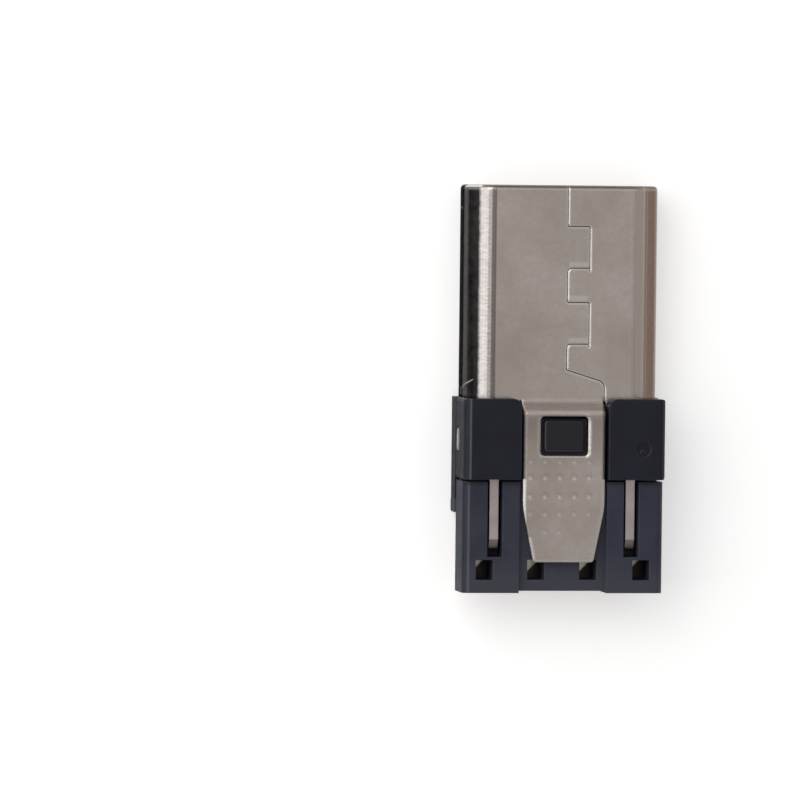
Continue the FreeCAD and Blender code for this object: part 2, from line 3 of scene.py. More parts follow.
import bmesh
import bpy
from mathutils import Matrix, Vector


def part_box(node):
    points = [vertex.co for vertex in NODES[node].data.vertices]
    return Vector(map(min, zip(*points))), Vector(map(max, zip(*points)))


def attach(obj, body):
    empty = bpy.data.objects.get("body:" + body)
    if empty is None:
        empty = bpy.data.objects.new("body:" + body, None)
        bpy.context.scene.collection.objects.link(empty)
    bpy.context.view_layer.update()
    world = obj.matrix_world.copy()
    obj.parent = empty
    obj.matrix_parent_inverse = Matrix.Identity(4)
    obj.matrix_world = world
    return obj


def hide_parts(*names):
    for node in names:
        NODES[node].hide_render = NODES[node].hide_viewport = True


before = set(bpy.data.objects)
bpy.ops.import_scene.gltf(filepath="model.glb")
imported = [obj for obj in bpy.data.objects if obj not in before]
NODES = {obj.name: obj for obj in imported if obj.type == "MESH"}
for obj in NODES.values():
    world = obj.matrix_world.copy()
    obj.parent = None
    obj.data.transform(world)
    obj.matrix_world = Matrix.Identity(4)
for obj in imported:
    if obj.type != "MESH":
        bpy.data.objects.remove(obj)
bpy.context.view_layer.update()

# The frame is in metres. A number that carries MM is a length in metres, and any other length below is in
# millimetres, unless its comment says otherwise. A station is a distance back from the shell's tip in millimetres
MM = 0.001

# Camera, fitted to the plug's outline in the photograph
FRAME_PIXELS = 800
PIXELS_PER_MM = 28.77
CAMERA_DISTANCE = 250 * MM
TURN_LEFT = math.radians(8.83)
TURN_TO_TIP = math.radians(1.96)
ROLL = math.radians(0.61)
AIM = Vector((-5.57 * MM, -0.44 * MM, 1.2 * MM))
SENSOR = 36.0

# Lamps: name, direction from the plug, distance, width and height in metres, power in watts, and colour
LAMPS = (("key", (-0.80, 0.42, 0.62), 0.12, 0.18, 0.11, 0.076, (1.0, 0.99, 0.98)),
         ("high_key", (-0.40, 0.42, 1.0), 0.25, 0.15, 0.15, 0.068, (1.0, 1.0, 1.0)),
         ("top_fill", (0.20, 0.30, 1.0), 0.30, 0.24, 0.24, 0.040, (1.0, 1.0, 1.0)))
WORLD_COLOUR = (1.0, 0.99, 0.98, 1.0)
WORLD_STRENGTH = 0.43

# Floor: half its side in metres, its colour, and the light that it adds for the camera and in reflections, so that
# it shows white away from the plug
FLOOR_HALF = 0.6
FLOOR_COLOUR = (0.95, 0.95, 0.95, 1.0)
FLOOR_LIFT = 0.375

# Ends of the plug and top of the shell's tongue, read from the frame
TIP_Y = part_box("shell")[1].y
TONGUE_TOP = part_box("shell")[1].z
REAR_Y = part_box("insulator")[0].y

# Length of shell in front of the collar, heights of its seam side and of the insulator's rails, and the height
# between its seam side and its tongue
EXPOSED = 7.40
SHELL_TOP = 2.10 * MM
BASE_TOP = 2.55 * MM
TONGUE_START = 2.30 * MM

# Radius of the edges that the finishes round, and depth of their grain
SHELL_EDGE = 0.12 * MM
TONGUE_EDGE = 0.22 * MM
MOULDING_EDGE = 0.05 * MM
CONTACT_EDGE = 0.03 * MM
LATCH_EDGE = 0.04 * MM
FINE_GRAIN = 0.003 * MM
GRAIN = 0.004 * MM

# Lug of the shell in the collar's side window: its middle, its outline, its inner and outer face, its rolled edge,
# the steps of its curves, and the x past which the shell's finish takes its tone
LUG_STATION = 8.855
LUG_HEIGHT = 1.43
LUG_HALF_LENGTH = 0.415
LUG_RADIUS = 0.25
LUG_FOOT_X = -3.39
LUG_FACE_X = -3.565
LUG_EDGE = 0.06
LUG_EDGE_STEPS = 3
LUG_TURN_STEPS = 12
LUG_SIDE_X = -3.3

# Knurl pressed into the tongue: columns by x, rows as station, depth, first and last column, and dimple radius
DIMPLE_COLUMNS = (-1.19, -0.67, -0.155, 0.36, 0.88)
DIMPLE_ROWS = ((9.60, 0.012, 0, 4), (10.14, 0.020, 0, 4), (10.79, 0.020, 0, 4), (11.41, 0.014, 0, 4),
               (12.04, 0.012, 1, 2))
DIMPLE_RADIUS = 0.10

# Distance at which vertices of the CAD mesh are one, and angle between faces above which an edge stays sharp
WELD = 0.0001 * MM
SHARP_ANGLE = math.radians(28)

# Tongue: the knurl's field, the double bend, the part that darkens towards it with painted shade, and the crease at
# its top, which gets a painted highlight. Then the depths at which a dimple's painted highlight starts and is full,
# and the margins of the slope's painted highlight above the flat and below the tongue
KNURL_X = (-1.30, 1.00)
KNURL_STATIONS = (12.20, 9.45)
BEND_STATIONS = (8.02, 7.34)
SHADED_STATIONS = (9.90, 8.20)
CREASE_STATIONS = (7.90, 7.86)
DIMPLE_DEPTHS = (0.002, 0.022)
SLOPE_FOOT = 0.10
SLOPE_HEAD = 0.08

# Flat and walls of the bare shell by x: where the left wall's painted dark reflection starts and is full, and how far
# that wavers, the fold and the crease beside the flat, which get painted dark reflections, and where the right bend
# starts, and where its painted shade browns and darkens
LEFT_WALL_X = (-2.85, -2.94)
LEFT_WALL_WAVER = 0.06
LEFT_FOLD_X = (-2.51, -2.40)
RIGHT_CREASE_X = (2.90, 2.94)
RIGHT_BEND_X = (2.45, 2.60)
BROWNED_X = (2.84, 3.02)
DARKENED_X = (3.00, 3.40)

# Painted shade along the sheared front edge of the shell, and a painted highlight at its left corner
FRONT_STATIONS = (0.12, 0.06)
FRONT_X = (-3.00, -2.80)
GLINT_STATIONS = (0.09, 0.07)
GLINT_X = (-2.84, -2.90)

# Marks as two points each: scratches on the left wall by height and station, and lips of the seam, which get a
# painted highlight, by x and station
WALL_SCRATCHES = (((0.80, 0.75), (1.15, 0.85)), ((1.00, 7.32), (1.75, 6.75)), ((0.90, 7.00), (1.30, 7.30)))
SCRATCH_WIDTH = 0.026
SEAM_LIPS = (((0.16, 2.74), (0.90, 2.74)), ((0.14, 3.92), (0.88, 3.92)), ((0.16, 5.38), (0.90, 5.38)))
LIP_WIDTH = 0.13

# Share of its width within which such a mark is full, and share of its length, from its middle, at which it starts to
# fade towards an end
LINE_CORE = 0.3
LINE_FADE = 0.42

# Gate mark on the collar's right block, with the width of the painted shade round its pit and how far that wavers
GATE_X = 2.745
GATE_STATION = 9.14
GATE_RADIUS = 0.27
GATE_RIM = 0.10
GATE_WAVER = 0.12

# Insulator: the painted shade behind the collar's blocks, and the pocket round the boss in the tongue's window, which
# gets painted shade, with the heights above the rails between which the boss starts. Then the paler end of the
# insulator and the bare end of the contacts, as the distances from the base's rear end at which each starts and is
# full
BLOCK_SHADE_STATIONS = (10.30, 9.90)
POCKET_X = (-0.86, 0.86)
POCKET_STATIONS = (9.42, 7.95)
BOSS_START = (0.001, 0.004)
PALE_END = (1.30, 0.30)
BARE_END = (0.34, 0.24)

# Solder pads: pitch across the plug, station of the middle of the holes that show their backs, and how far the edge
# of the painted shade on their backs is shifted on the two inner pads, as a share of the pitch
PAD_PITCH = 1.84
REAR_HOLE_STATION = 13.115
INNER_SHIFT = 0.07


def station_y(station):
    """Y of a station in metres."""
    return TIP_Y - station * MM


def srgb(red, green, blue):
    """Linear colour of three 0 to 255 values."""
    out = []
    for value in (red, green, blue):
        v = value / 255
        out.append(v / 12.92 if v <= 0.04045 else ((v + 0.055) / 1.055) ** 2.4)
    return tuple(out)


# Tones of the nickel
NICKEL_DARK = srgb(178, 166, 159)
NICKEL_LIGHT = srgb(193, 183, 177)
NICKEL_FINE = srgb(168, 157, 146)
# Pale edges of the nickel: partly wear, partly a painted highlight
NICKEL_RUBBED_HIGHLIGHT = srgb(250, 246, 242)
# Painted highlight on the lips of the seam
NICKEL_LIP_HIGHLIGHT = srgb(214, 206, 200)
# Painted shade on the tongue towards its bend
NICKEL_SHADED = srgb(136, 124, 118)
# Painted highlights on the tongue's crease, dimples and slope
NICKEL_CREASE_HIGHLIGHT = srgb(222, 214, 206)
NICKEL_DIMPLE_HIGHLIGHT = srgb(230, 222, 216)
NICKEL_SLOPE_HIGHLIGHT = srgb(234, 222, 214)
# Painted highlight where the shell turns towards its tip
NICKEL_BENT_HIGHLIGHT = srgb(226, 218, 210)
# Painted dark reflection along the left fold and the right crease
NICKEL_FOLD_REFLECTION = srgb(104, 92, 86)
NICKEL_LUG = srgb(112, 112, 110)
# Painted shade along the front edge, and the painted highlight at its left corner
NICKEL_FRONT_SHADE = srgb(84, 76, 70)
NICKEL_GLINT = srgb(236, 232, 228)
NICKEL_SCRATCH = srgb(190, 184, 178)
BRUSHED_DARK = srgb(164, 159, 156)
BRUSHED_LIGHT = srgb(192, 187, 185)
# Painted shade on the right bend: browner, and darker towards its edge
BROWN_PALE = srgb(204, 190, 180)
BROWN = srgb(134, 110, 97)
BROWN_DARK = srgb(112, 92, 82)
# Painted dark reflection on the left wall, mottled, and the dimmed tint of its reflection at grazing angles
LEFT_WALL_REFLECTION_DARK = srgb(12, 12, 14)
LEFT_WALL_REFLECTION_LIGHT = srgb(34, 31, 31)
LEFT_WALL_RIM = (0.06, 0.06, 0.07)
PLAIN_RIM = (1.0, 1.0, 1.0)

# Tones of the mouldings: dark, light and speck of each, then their marks
COLLAR_TONES = (srgb(10, 12, 24), srgb(22, 24, 39), srgb(21, 26, 34))
INSULATOR_TONES = (srgb(42, 44, 59), srgb(55, 57, 72), srgb(48, 54, 63))
# Pale edges of the mouldings: partly wear, partly a painted highlight
MOULDING_RUBBED_HIGHLIGHT = srgb(96, 99, 108)
# Painted shade and painted highlight along the rounded left corners of the mouldings
CORNER_SHADE = srgb(10, 11, 14)
CORNER_HIGHLIGHT = srgb(88, 92, 103)
# Painted shade on the collar's front, a painted highlight line along its top edge, and painted shade in the gate's
# pit
COLLAR_FRONT_SHADE = srgb(14, 15, 19)
COLLAR_LINE_HIGHLIGHT = srgb(92, 94, 100)
GATE_PIT_SHADE = srgb(12, 13, 16)
REAR_STRIP = srgb(66, 67, 76)
# Painted shade behind the collar's blocks and in the boss's pocket, and a painted highlight on the boss's rim
BLOCK_SHADE = srgb(16, 17, 22)
POCKET_SHADE = srgb(8, 8, 11)
BOSS_TOP = srgb(26, 25, 31)
BOSS_RIM_HIGHLIGHT = srgb(78, 76, 86)

# Tones of the contacts and latches
TIN_DARK = srgb(214, 208, 200)
TIN_LIGHT = srgb(228, 220, 208)
BARE_COPPER = srgb(222, 188, 172)
# Painted shade on the pads' backs, seen in the rear holes
PAD_BACK_SHADE = srgb(22, 21, 22)
SPRING_DARK = srgb(176, 166, 165)
SPRING_LIGHT = srgb(195, 186, 183)
SPRING_TAIL = srgb(122, 114, 108)
SPRING_RUBBED = srgb(222, 216, 208)


class Nodes:
    """A material's node tree, with short calls for the nodes that the finishes use.

    x, y and z are the place on the object in metres. facing_x, facing_y and facing_z are the way that its surface
    faces, so the limits that they are compared with are cosines.
    """

    def __init__(self, name):
        self.material = bpy.data.materials.new(name)
        self.material.use_nodes = True
        self.tree = self.material.node_tree
        self.tree.nodes.clear()
        self.output = self.tree.nodes.new("ShaderNodeOutputMaterial")
        coordinates = self.tree.nodes.new("ShaderNodeTexCoord")
        self.place = coordinates.outputs["Object"]
        self.x, self.y, self.z = self.split(self.place)
        self.facing_x, self.facing_y, self.facing_z = self.split(coordinates.outputs["Normal"])
        self.geometry = self.tree.nodes.new("ShaderNodeNewGeometry")

    def feed(self, socket, value):
        """Link an output to a socket, or set the socket to a number or colour."""
        if isinstance(value, bpy.types.NodeSocket):
            self.tree.links.new(value, socket)
        elif hasattr(value, "__len__") and len(value) == 3 and len(socket.default_value) == 4:
            socket.default_value = (*value, 1.0)
        else:
            socket.default_value = value

    def math(self, operation, a, b=0.0, c=0.0, clamp=False):
        node = self.tree.nodes.new("ShaderNodeMath")
        node.operation = operation
        node.use_clamp = clamp
        for socket, value in zip(node.inputs, (a, b, c)):
            self.feed(socket, value)
        return node.outputs[0]

    def product(self, first, *others):
        """Two or more masks or numbers multiplied together."""
        for other in others:
            first = self.math("MULTIPLY", first, other)
        return first

    def rest_of(self, mask):
        """1 where a mask is 0, and the other way round."""
        return self.math("SUBTRACT", 1.0, mask)

    def above(self, value, limit):
        return self.math("GREATER_THAN", value, limit)

    def below(self, value, limit):
        return self.math("LESS_THAN", value, limit)

    def split(self, vector):
        node = self.tree.nodes.new("ShaderNodeSeparateXYZ")
        self.feed(node.inputs[0], vector)
        return node.outputs

    def noise(self, scale, detail, roughness, stretch=None):
        """Noise at the place on the object. A stretch multiplies that place along each axis first."""
        vector = self.place
        if stretch is not None:
            multiply = self.tree.nodes.new("ShaderNodeVectorMath")
            multiply.operation = "MULTIPLY"
            self.feed(multiply.inputs[0], self.place)
            multiply.inputs[1].default_value = stretch
            vector = multiply.outputs[0]
        node = self.tree.nodes.new("ShaderNodeTexNoise")
        self.feed(node.inputs["Vector"], vector)
        node.inputs["Scale"].default_value = scale
        node.inputs["Detail"].default_value = detail
        node.inputs["Roughness"].default_value = roughness
        return node.outputs["Fac"]

    def remap(self, value, low, high, to_low=0.0, to_high=1.0):
        node = self.tree.nodes.new("ShaderNodeMapRange")
        node.clamp = True
        for name, number in (("From Min", low), ("From Max", high), ("To Min", to_low), ("To Max", to_high)):
            node.inputs[name].default_value = number
        self.feed(node.inputs["Value"], value)
        return node.outputs["Result"]

    def ramp_x(self, span):
        """0 before one x and 1 past another, in millimetres."""
        return self.remap(self.x, span[0] * MM, span[1] * MM)

    def ramp_stations(self, span):
        """0 before one station and 1 past another."""
        return self.remap(self.y, station_y(span[0]), station_y(span[1]))

    def ramp_rear(self, span):
        """0 further than one distance from the base's rear end and 1 nearer than another, in millimetres."""
        return self.remap(self.y, REAR_Y + span[0] * MM, REAR_Y + span[1] * MM)

    def band(self, value, low, high, soft):
        """1 between two numbers, falling to 0 over a soft margin outside them."""
        return self.product(self.remap(value, low - soft, low), self.remap(value, high + soft, high))

    def band_x(self, span, soft):
        """1 between two x, with a soft margin, in millimetres."""
        return self.band(self.x, span[0] * MM, span[1] * MM, soft * MM)

    def band_stations(self, span, soft):
        """1 between two stations, with a soft margin in millimetres."""
        return self.band(self.y, station_y(span[0]), station_y(span[1]), soft * MM)

    def mix(self, factor, a, b):
        node = self.tree.nodes.new("ShaderNodeMix")
        node.data_type = "RGBA"
        self.feed(node.inputs["Factor"], factor)
        self.feed(node.inputs["A"], a)
        self.feed(node.inputs["B"], b)
        return node.outputs["Result"]

    def tint(self, tone, mask, colour, share):
        """A tone that turns by a share into a colour where a mask is 1."""
        return self.mix(self.product(mask, share), tone, colour)

    def bump(self, height, distance, strength, normal):
        node = self.tree.nodes.new("ShaderNodeBump")
        node.inputs["Distance"].default_value = distance
        node.inputs["Strength"].default_value = strength
        self.feed(node.inputs["Height"], height)
        self.feed(node.inputs["Normal"], normal)
        return node.outputs["Normal"]

    def soft_edges(self, radius):
        """Normal that rounds the edges over a radius in metres."""
        node = self.tree.nodes.new("ShaderNodeBevel")
        node.samples = 6
        self.feed(node.inputs["Radius"], radius)
        return node.outputs["Normal"]

    def edge_mask(self, rounded, gain):
        """How far the rounded normal leaves the true one, from 0 on a flat to 1 on an edge."""
        node = self.tree.nodes.new("ShaderNodeVectorMath")
        node.operation = "DISTANCE"
        self.feed(node.inputs[0], rounded)
        self.feed(node.inputs[1], self.geometry.outputs["True Normal"])
        return self.math("MULTIPLY", node.outputs["Value"], gain, clamp=True)

    def surface(self, **values):
        shader = self.tree.nodes.new("ShaderNodeBsdfPrincipled")
        for name, value in values.items():
            self.feed(shader.inputs[name.replace("_", " ")], value)
        self.tree.links.new(shader.outputs[0], self.output.inputs["Surface"])
        return self.material


def near_line(n, across, first, last, width):
    """Soft thin line between two points, each given by its place on the axis across and its station."""
    run_across = (last[0] - first[0]) * MM
    run_back = (last[1] - first[1]) * MM
    length = math.hypot(run_across, run_back)
    u = n.math("SUBTRACT", across, first[0] * MM)
    v = n.math("SUBTRACT", station_y(first[1]), n.y)
    along = n.math("ADD", n.product(u, run_across / length ** 2), n.product(v, run_back / length ** 2))
    aside = n.math("SUBTRACT", n.product(u, run_back / length), n.product(v, run_across / length))
    close = n.remap(n.math("ABSOLUTE", aside), width * MM, width * MM * LINE_CORE)
    inside = n.remap(n.math("ABSOLUTE", n.math("SUBTRACT", along, 0.5)), 0.5, LINE_FADE)
    return n.product(close, inside)


def near_lines(n, across, lines, width):
    """near_line for several lines at once."""
    nearest = 0.0
    for first, last in lines:
        nearest = n.math("MAXIMUM", nearest, near_line(n, across, first, last, width))
    return nearest


def tongue_marks(n, tone, tongue, knurl, bend):
    """Painted shade darkens the tongue towards its double bend, whose crease and slope get painted highlights, as do
    the dimples inside.
    """
    tone = n.tint(tone, n.product(n.ramp_stations(SHADED_STATIONS), tongue), NICKEL_SHADED, share=0.65)
    crease_reflection = n.product(n.band_stations(CREASE_STATIONS, soft=0.10), tongue)
    tone = n.tint(tone, crease_reflection, NICKEL_CREASE_HIGHLIGHT, share=0.5)
    depth = n.remap(n.z, TONGUE_TOP - DIMPLE_DEPTHS[0] * MM, TONGUE_TOP - DIMPLE_DEPTHS[1] * MM)
    dimple_highlight = n.product(depth, knurl, n.remap(n.facing_z, 0.7, 0.8))
    tone = n.tint(tone, dimple_highlight, NICKEL_DIMPLE_HIGHLIGHT, share=0.65)
    slope_highlight = n.band(n.z, SHELL_TOP + SLOPE_FOOT * MM, TONGUE_TOP - SLOPE_HEAD * MM, soft=0.06 * MM)
    return n.tint(tone, n.product(bend, slope_highlight), NICKEL_SLOPE_HIGHLIGHT, share=0.8)


def wall_marks(n, tone, left_wall):
    """The left bend is brushed; the right bend gets browner painted shade, the folds painted dark reflections, and
    the left wall a painted dark reflection.
    """
    brushed = n.remap(n.noise(1300, 3, 0.65, stretch=(3.0, 9.0, 3.0)), 0.3, 0.7)
    left_bend = n.product(n.remap(n.facing_x, -0.12, -0.35), n.above(n.facing_z, 0.3))
    tone = n.mix(left_bend, tone, n.mix(brushed, BRUSHED_DARK, BRUSHED_LIGHT))
    # Painted shade on the right bend: browner, and darker towards its edge
    right_shade = n.mix(n.ramp_x(BROWNED_X), BROWN_PALE, BROWN)
    right_shade = n.mix(n.ramp_x(DARKENED_X), right_shade, BROWN_DARK)
    right_bend = n.product(n.ramp_x(RIGHT_BEND_X), n.remap(n.facing_x, 0.05, 0.20),
                           n.remap(n.facing_z, 0.2, 0.5, 0.3, 0.9))
    tone = n.mix(right_bend, tone, right_shade)
    # Painted dark reflections along the left fold and the right crease
    fold_reflection = n.product(n.band_x(LEFT_FOLD_X, soft=0.05), n.remap(n.facing_z, 0.9, 0.97))
    crease_reflection = n.product(n.band_x(RIGHT_CREASE_X, soft=0.04), n.remap(n.facing_z, 0.3, 0.6), 0.7)
    tone = n.tint(tone, n.math("MAXIMUM", fold_reflection, crease_reflection), NICKEL_FOLD_REFLECTION, share=0.8)
    # Painted dark reflection on the left wall, mottled
    wall_mottle = n.remap(n.noise(2600, 4, 0.7), 0.35, 0.7)
    return n.mix(left_wall, tone, n.mix(wall_mottle, LEFT_WALL_REFLECTION_DARK, LEFT_WALL_REFLECTION_LIGHT))


def front_marks(n, tone):
    """The sheared front edge gets painted shade, with a painted highlight at its left corner."""
    front_shade = n.product(n.ramp_stations(FRONT_STATIONS), n.ramp_x(FRONT_X))
    tone = n.tint(tone, front_shade, NICKEL_FRONT_SHADE, share=0.8)
    glint = n.product(n.ramp_stations(GLINT_STATIONS), n.ramp_x(GLINT_X), n.above(n.facing_z, 0.2))
    return n.tint(tone, glint, NICKEL_GLINT, share=0.9)


def shell_finish():
    """Satin nickel over folded steel: mottled warm grey, rubbed and scratched, with painted highlights, shade and
    dark reflections where it is folded and pressed.
    """
    n = Nodes("nickel_shell")

    # Where the parts of the shell are
    tongue = n.above(n.z, TONGUE_START)
    knurl = n.product(n.band_x(KNURL_X, soft=0.02), n.band_stations(KNURL_STATIONS, soft=0.01), tongue)
    bend = n.product(n.band_stations(BEND_STATIONS, soft=0.02), n.remap(n.facing_z, 0.2, 0.4))
    bare = n.above(n.y, station_y(EXPOSED))
    # Where the left wall gets its painted dark reflection, in front of the collar
    wavering_x = n.math("MULTIPLY_ADD", n.noise(4200, 3, 0.6), LEFT_WALL_WAVER * MM, n.x)
    left_wall = n.product(n.remap(wavering_x, LEFT_WALL_X[0] * MM, LEFT_WALL_X[1] * MM), bare,
                          n.remap(n.facing_x, -0.1, -0.3))
    lug = n.product(n.below(n.x, LUG_SIDE_X * MM), n.rest_of(bare))

    # Edges are painted pale, partly as wear and partly as a painted highlight, apart from the knurl's and most of the
    # bend's
    rounded = n.soft_edges(n.math("MULTIPLY_ADD", tongue, TONGUE_EDGE - SHELL_EDGE, SHELL_EDGE))
    spared = n.math("MAXIMUM", knurl, n.product(bend, 0.75))
    rubbed_and_highlit = n.product(n.edge_mask(rounded, gain=2.0), n.rest_of(spared))

    cloud = n.remap(n.noise(420, 4, 0.6), 0.35, 0.65)
    fine = n.remap(n.noise(5200, 3, 0.6), 0.3, 0.7)
    tone = n.tint(n.mix(cloud, NICKEL_DARK, NICKEL_LIGHT), fine, NICKEL_FINE, share=0.35)
    # Painted highlight along the lips of the seam
    lip_highlights = n.product(near_lines(n, n.x, SEAM_LIPS, LIP_WIDTH), n.above(n.facing_z, 0.9))
    tone = n.tint(tone, lip_highlights, NICKEL_LIP_HIGHLIGHT, share=0.55)
    tone = tongue_marks(n, tone, tongue, knurl, bend)
    tone = wall_marks(n, tone, left_wall)
    # Painted highlight on the faces that turn towards the tip
    bent_highlight = n.product(n.remap(n.facing_y, 0.15, 0.5), n.above(n.z, SHELL_TOP))
    tone = n.tint(tone, bent_highlight, NICKEL_BENT_HIGHLIGHT, share=0.55)
    tone = n.tint(tone, rubbed_and_highlit, NICKEL_RUBBED_HIGHLIGHT, share=0.8)
    tone = n.mix(lug, tone, NICKEL_LUG)
    tone = front_marks(n, tone)
    scratches = n.product(near_lines(n, n.z, WALL_SCRATCHES, SCRATCH_WIDTH), left_wall, 0.45)
    tone = n.mix(scratches, tone, NICKEL_SCRATCH)

    # The left wall's reflection is dimmed at grazing angles, as part of its painted dark reflection
    rim = n.mix(n.product(left_wall, n.rest_of(scratches)), PLAIN_RIM, LEFT_WALL_RIM)
    rough = n.remap(n.noise(1500, 4, 0.65), 0.3, 0.7, 0.18, 0.27)
    normal = n.bump(n.noise(16000, 2, 0.6), FINE_GRAIN, 0.6, rounded)
    normal = n.bump(n.noise(900, 3, 0.6, stretch=(5.0, 14.0, 5.0)), GRAIN, 0.6, normal)
    return n.surface(Base_Color=tone, Metallic=1.0, Roughness=rough, Specular_Tint=rim, Normal=normal)


def plastic_finish(name, tones, details):
    """Matte black moulding with a blue cast: mottled, finely grained, duller at its sides, and paler on edges, partly
    as wear and partly as a painted highlight.
    """
    n = Nodes(name)
    dark, light, speck = tones
    rounded = n.soft_edges(MOULDING_EDGE)
    cloud = n.remap(n.noise(700, 5, 0.65), 0.35, 0.68)
    spots = n.remap(n.noise(3600, 3, 0.6), 0.45, 0.75)
    tone = details(n, n.tint(n.mix(cloud, dark, light), spots, speck, share=0.35))
    tone = n.tint(tone, n.edge_mask(rounded, gain=1.2), MOULDING_RUBBED_HIGHLIGHT, share=0.35)
    side = n.remap(n.math("ABSOLUTE", n.facing_x), 0.6, 0.9, 0.0, 0.36)
    rough = n.math("ADD", n.remap(n.noise(2400, 3, 0.6), 0.3, 0.7, 0.32, 0.48), side)
    normal = n.bump(n.noise(11000, 3, 0.65), GRAIN, 0.7, rounded)
    return n.surface(Base_Color=tone, Roughness=rough, Normal=normal, Specular_IOR_Level=0.3)


def corner_shade_and_highlight(n, tone):
    """Painted shade in a dark band and a painted highlight line along the rounded corners of the left side."""
    tone = n.tint(tone, n.band(n.facing_x, -0.90, -0.50, 0.08), CORNER_SHADE, share=0.6)
    return n.tint(tone, n.band(n.facing_x, -0.30, -0.14, 0.06), CORNER_HIGHLIGHT, share=0.7)


def collar_details(n, tone):
    """Painted shade on the front and a painted highlight line above it, painted shade and highlight on the left
    corners, and painted shade in the gate mark's pit.
    """
    tone = n.mix(n.remap(n.facing_y, 0.45, 0.7), tone, COLLAR_FRONT_SHADE)
    tone = n.tint(tone, n.band(n.facing_y, 0.14, 0.34, 0.08), COLLAR_LINE_HIGHLIGHT, share=0.5)
    tone = corner_shade_and_highlight(n, tone)
    across = n.math("SUBTRACT", n.x, GATE_X * MM)
    along = n.math("SUBTRACT", n.y, station_y(GATE_STATION))
    away = n.math("SQRT", n.math("ADD", n.math("POWER", across, 2.0), n.math("POWER", along, 2.0)))
    away = n.math("MULTIPLY_ADD", n.noise(2600, 3, 0.6), GATE_WAVER * MM, away)
    pit = n.product(n.remap(away, (GATE_RADIUS + GATE_RIM) * MM, GATE_RADIUS * MM), n.above(n.z, BASE_TOP))
    return n.tint(tone, pit, GATE_PIT_SHADE, share=0.75)


def insulator_details(n, tone):
    """A paler strip at the rear, painted shade and highlight on the left corners, painted shade behind the blocks and
    in the boss's pocket, and a painted highlight on the boss's rim.
    """
    tone = n.tint(tone, n.ramp_rear(PALE_END), REAR_STRIP, share=0.7)
    tone = corner_shade_and_highlight(n, tone)
    shade = n.product(n.band_stations(BLOCK_SHADE_STATIONS, soft=0.16), n.above(n.facing_z, 0.2))
    tone = n.tint(tone, shade, BLOCK_SHADE, share=0.7)
    pocket = n.product(n.band_x(POCKET_X, soft=0.01), n.band_stations(POCKET_STATIONS, soft=0.01))
    tone = n.tint(tone, pocket, POCKET_SHADE, share=0.85)
    boss = n.remap(n.z, BASE_TOP + BOSS_START[0] * MM, BASE_TOP + BOSS_START[1] * MM)
    # Painted highlight on the boss's left and rear rims
    rim = n.math("MAXIMUM", n.remap(n.facing_x, -0.25, -0.5), n.remap(n.facing_y, -0.25, -0.5))
    return n.mix(boss, tone, n.tint(BOSS_TOP, rim, BOSS_RIM_HIGHLIGHT, share=0.7))


def contact_finish():
    """Pale tin over copper alloy, bare at the sheared end, with painted shade aslant across the pads' backs in the
    rear holes.
    """
    n = Nodes("tinned_contact")
    cloud = n.remap(n.noise(1300, 4, 0.6), 0.35, 0.65)
    tone = n.tint(n.mix(cloud, TIN_DARK, TIN_LIGHT), n.ramp_rear(BARE_END), BARE_COPPER, share=0.75)
    lane = n.math("SUBTRACT", n.math("DIVIDE", n.x, PAD_PITCH * MM), 0.5)
    across = n.math("SUBTRACT", lane, n.math("ROUND", lane))
    down = n.math("DIVIDE", n.math("SUBTRACT", station_y(REAR_HOLE_STATION), n.y), PAD_PITCH * MM)
    inner = n.below(n.math("ABSOLUTE", n.x), PAD_PITCH * MM)
    aslant = n.math("SUBTRACT", n.math("ADD", across, down), n.product(inner, INNER_SHIFT))
    pad_shade = n.product(n.remap(aslant, 0.03, 0.08), n.above(n.facing_z, 0.5))
    tone = n.tint(tone, pad_shade, PAD_BACK_SHADE, share=0.96)
    rough = n.remap(n.noise(2600, 4, 0.6), 0.3, 0.7, 0.30, 0.46)
    normal = n.bump(n.noise(9000, 3, 0.6), GRAIN, 0.7, n.soft_edges(CONTACT_EDGE))
    return n.surface(Base_Color=tone, Metallic=1.0, Roughness=rough, Normal=normal)


def latch_finish():
    """Spring steel with drawn lines along the blade, rubbed edges, and a bevelled tail that is darker where it faces
    back.
    """
    n = Nodes("spring_steel")
    rounded = n.soft_edges(LATCH_EDGE)
    cloud = n.remap(n.noise(1600, 4, 0.6), 0.35, 0.65)
    tone = n.mix(cloud, SPRING_DARK, SPRING_LIGHT)
    tail = n.product(n.remap(n.facing_y, -0.15, -0.3), n.above(n.facing_z, 0.3))
    tone = n.tint(tone, tail, SPRING_TAIL, share=0.6)
    tone = n.tint(tone, n.edge_mask(rounded, gain=1.2), SPRING_RUBBED, share=0.6)
    rough = n.remap(n.noise(3200, 3, 0.6), 0.3, 0.7, 0.24, 0.40)
    normal = n.bump(n.noise(2600, 3, 0.6, stretch=(8.0, 1.0, 8.0)), GRAIN, 0.7, rounded)
    return n.surface(Base_Color=tone, Metallic=1.0, Roughness=rough, Normal=normal)


def knurl_cutter():
    """One mesh in millimetres with a ball for every dimple, each sunk to its row's depth."""
    shapes = bmesh.new()
    for station, depth, first, last in DIMPLE_ROWS:
        ball = (DIMPLE_RADIUS ** 2 + depth ** 2) / (2 * depth)
        for column in DIMPLE_COLUMNS[first:last + 1]:
            centre = Matrix.Translation((column, TIP_Y / MM - station, TONGUE_TOP / MM + ball - depth))
            bmesh.ops.create_uvsphere(shapes, u_segments=20, v_segments=32, radius=ball, matrix=centre)
    mesh = bpy.data.meshes.new("knurl_cutter")
    shapes.to_mesh(mesh)
    shapes.free()
    return mesh


def settle(piece):
    """Apply a piece's modifiers to its mesh."""
    bpy.context.view_layer.update()
    made = bpy.data.meshes.new_from_object(piece.evaluated_get(bpy.context.evaluated_depsgraph_get()))
    piece.modifiers.clear()
    piece.data = made


